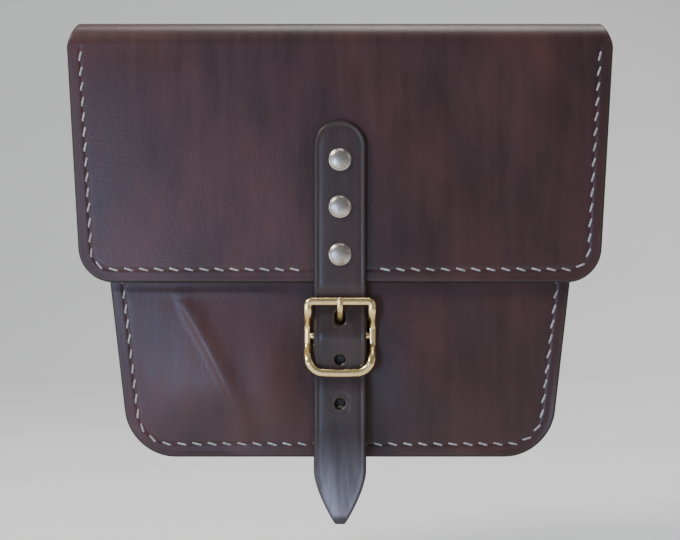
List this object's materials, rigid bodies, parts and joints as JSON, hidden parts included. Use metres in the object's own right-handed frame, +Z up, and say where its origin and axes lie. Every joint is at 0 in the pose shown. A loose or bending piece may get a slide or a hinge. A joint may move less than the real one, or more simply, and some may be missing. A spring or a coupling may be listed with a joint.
{
  "type": "motorcycle saddlebag",
  "caption": "Small brown leather motorcycle side bag with a stitched flap, a riveted strap and a brass centre-bar buckle.",
  "frame": {"origin": "centre of the four mounting holes, on the back panel's outer face", "axes": "+X along the bag, +Y out of its back towards the motorcycle, so the flap and buckle face -Y, +Z up"},
  "size_m": [0.26, 0.0961, 0.238],
  "materials": {
    "leather": "semi-gloss, waxed",
    "strap_leather": "semi-gloss, polished",
    "lining": "matte, flesh side",
    "plastic": "matte",
    "brass": "polished, lightly aged",
    "nickel": "antique nickel, worn satin",
    "thread": "waxed thread"
  },
  "bodies": {
    "root": {"front_panel": "leather", "back_panel": "leather", "gusset": "leather", "back_stiffener": "plastic", "mount_eyelets": "brass", "front_patch": "leather", "front_stitching": "thread", "back_stitching": "thread", "buckle_chape": "strap_leather", "chape_rivet_caps": "nickel", "chape_rivet_bases": "nickel"},
    "flap": {"flap_outer": "leather", "flap_lining": "lining", "flap_stitching": "thread", "closing_strap": "strap_leather", "strap_rivet_caps": "nickel", "strap_rivet_bases": "nickel"},
    "strap_tail": {"closing_strap_tail": "strap_leather"},
    "buckle": {"buckle_frame": "brass"},
    "prong": {"buckle_prong": "brass"}
  },
  "joints": [
    {"name": "flap_hinge", "type": "hinge", "parent": "root", "child": "flap", "pos_m": [0, -0.0014, 0.0906], "axis": [-1, 0, 0], "range_deg": [0, 160]},
    {"name": "strap_flex", "type": "hinge", "parent": "flap", "child": "strap_tail", "pos_m": [0, -0.087, -0.0305], "axis": [-1, 0, 0], "range_deg": [0, 100], "deforming": ["closing_strap_tail"]},
    {"name": "buckle_tilt", "type": "hinge", "parent": "root", "child": "buckle", "pos_m": [0, -0.0836, -0.0574], "axis": [1, 0, 0], "range_deg": [-3, 0]},
    {"name": "prong_pivot", "type": "hinge", "parent": "buckle", "child": "prong", "pos_m": [0, -0.0836, -0.0574], "axis": [1, 0, 0], "range_deg": [0, 110]}
  ]
}
